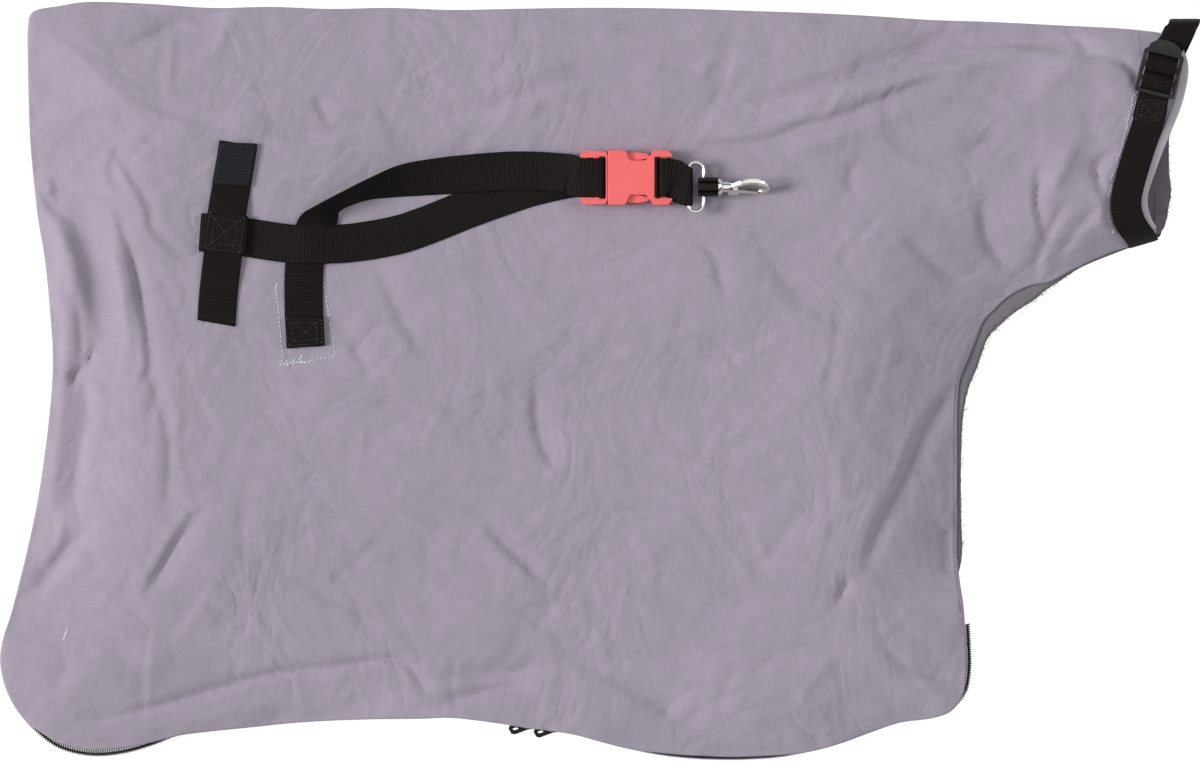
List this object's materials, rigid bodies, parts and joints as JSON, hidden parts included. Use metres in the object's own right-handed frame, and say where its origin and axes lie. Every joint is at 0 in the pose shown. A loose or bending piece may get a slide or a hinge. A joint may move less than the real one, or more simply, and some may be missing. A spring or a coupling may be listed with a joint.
{
  "type": "leaf collection bag",
  "caption": "Cotton collection bag for a garden blower vacuum, flat, with a side neck, a strapped collar, a zipped floor and a shoulder strap with a buckle and a snap hook",
  "frame": {"origin": "On the flat underside of the back panel, at the middle of the bag's length and height, where the bag lies on the ground.", "axes": "+X from the closed end to the neck, along the bag's length; +Y up the bag towards its top seam; +Z out of the front panel, away from the ground."},
  "size_m": [0.7789, 0.4938, 0.044],
  "materials": {
    "grey_cotton": "violet grey plain woven cotton, creased, matt",
    "black_webbing": "black ribbed polypropylene webbing with a slight sheen",
    "black_tape": "black woven tape, smooth",
    "black_plastic": "moulded black acetal, satin",
    "red_plastic": "moulded red acetal, satin gloss",
    "nickel": "nickel plated steel, bright",
    "dark_metal": "nickel plated die casting, dark in reflection"
  },
  "bodies": {
    "bag": {"front_panel": "grey_cotton", "back_panel": "grey_cotton", "inner_reinforcement": "grey_cotton", "hanging_band": "black_webbing", "band_end_patch": "black_tape", "shoulder_strap": "black_webbing", "neck_strap": "black_webbing", "ladder_lock": "black_plastic", "buckle_male": "red_plastic", "zip_tape_front": "black_tape", "zip_tape_back": "black_tape", "zip_chain_front": "black_plastic", "zip_chain_back": "black_plastic"},
    "buckle_socket": {"buckle_female": "red_plastic", "hook_loop": "black_webbing"},
    "ring": {"wire_ring": "nickel"},
    "swivel": {"swivel_sleeve": "dark_metal"},
    "hook": {"snap_hook": "nickel"},
    "gate": {"hook_gate": "nickel"},
    "slider_left": {"zip_slider_left": "dark_metal"},
    "slider_right": {"zip_slider_right": "dark_metal"},
    "pull_left": {"zip_pull_left": "black_plastic"},
    "pull_right": {"zip_pull_right": "black_plastic"}
  },
  "joints": [
    {"name": "buckle_release", "type": "slide", "parent": "bag", "child": "buckle_socket", "axis": [1, 0, 0], "range_m": [0, 0.032]},
    {"name": "ring_swing", "type": "hinge", "parent": "buckle_socket", "child": "ring", "pos_m": [0.0574, 0.12627, 0.0326], "axis": [0, -1, 0], "range_deg": [0, 90]},
    {"name": "swivel_fold", "type": "hinge", "parent": "ring", "child": "swivel", "pos_m": [0.06715, 0.12627, 0.0326], "axis": [0, -1, 0], "range_deg": [0, 80]},
    {"name": "hook_swivel", "type": "hinge", "parent": "swivel", "child": "hook", "pos_m": [0.0799, 0.12627, 0.0326], "axis": [1, 0, 0], "continuous": true},
    {"name": "gate_hinge", "type": "hinge", "parent": "hook", "child": "gate", "pos_m": [0.0869, 0.12448, 0.02948], "axis": [0, -0.866, 0.5], "range_deg": [0, 18], "stiffness_Nm_per_rad": 0.02, "springref_deg": -20.05},
    {"name": "zip_left_run", "type": "slide", "parent": "bag", "child": "slider_left", "axis": [-0.9923, 0.1239, 0], "range_m": [0, 0.055]},
    {"name": "zip_right_run", "type": "slide", "parent": "bag", "child": "slider_right", "axis": [0.9923, -0.1239, 0], "range_m": [0, 0.011]},
    {"name": "pull_left_tilt", "type": "hinge", "parent": "slider_left", "child": "pull_left", "pos_m": [-0.04837, -0.22278, 0.01061], "axis": [-0.4398, 0.755, 0.4864], "range_deg": [0, 90]},
    {"name": "pull_right_tilt", "type": "hinge", "parent": "slider_right", "child": "pull_right", "pos_m": [-0.03212, -0.22481, 0.01061], "axis": [-0.4398, 0.755, 0.4864], "range_deg": [0, 90]}
  ]
}
